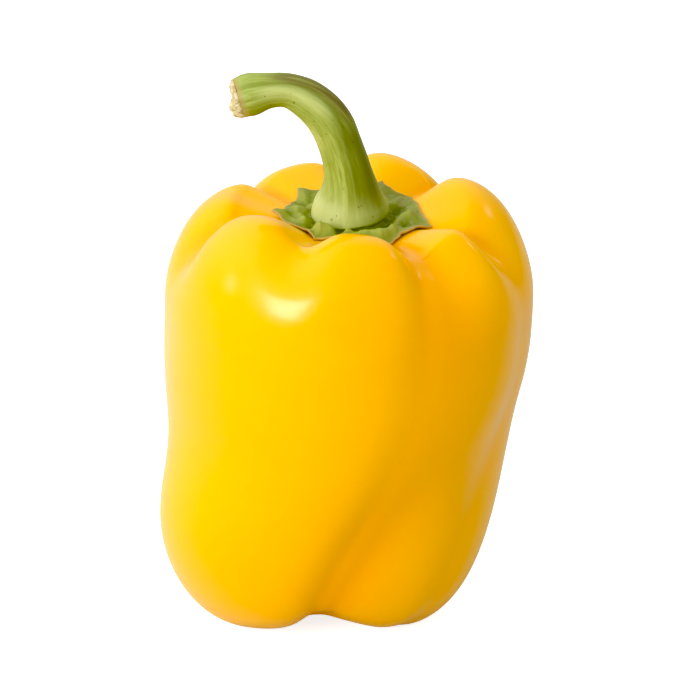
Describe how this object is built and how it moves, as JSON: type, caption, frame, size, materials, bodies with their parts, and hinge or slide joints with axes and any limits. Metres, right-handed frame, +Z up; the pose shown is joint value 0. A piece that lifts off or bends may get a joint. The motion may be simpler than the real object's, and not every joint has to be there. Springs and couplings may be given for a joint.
{
  "type": "bell pepper",
  "caption": "Blocky, lobed sweet pepper that stands upright on the feet of its lobes, with a toothed leafy calyx sunk in the top and a hooked stalk cut off at its end.",
  "frame": {"origin": "on the surface that the pepper stands on, under the middle of its bounding box", "axes": "+Z up; -Y towards the side with the long crease; -X the way that the stalk hooks over"},
  "size_m": [0.0844, 0.0822, 0.1316],
  "materials": {
    "pepper_skin": "smooth waxy fruit skin with soft highlights",
    "calyx_leaf": "crinkled, slightly waxy leaf",
    "stalk_skin": "ribbed green stalk with a faint satin sheen",
    "dry_tissue": "rough dry plant tissue"
  },
  "bodies": {
    "root": {"fruit": "pepper_skin", "calyx": "calyx_leaf", "stalk": "stalk_skin", "cut_end": "dry_tissue"}
  },
  "joints": []
}
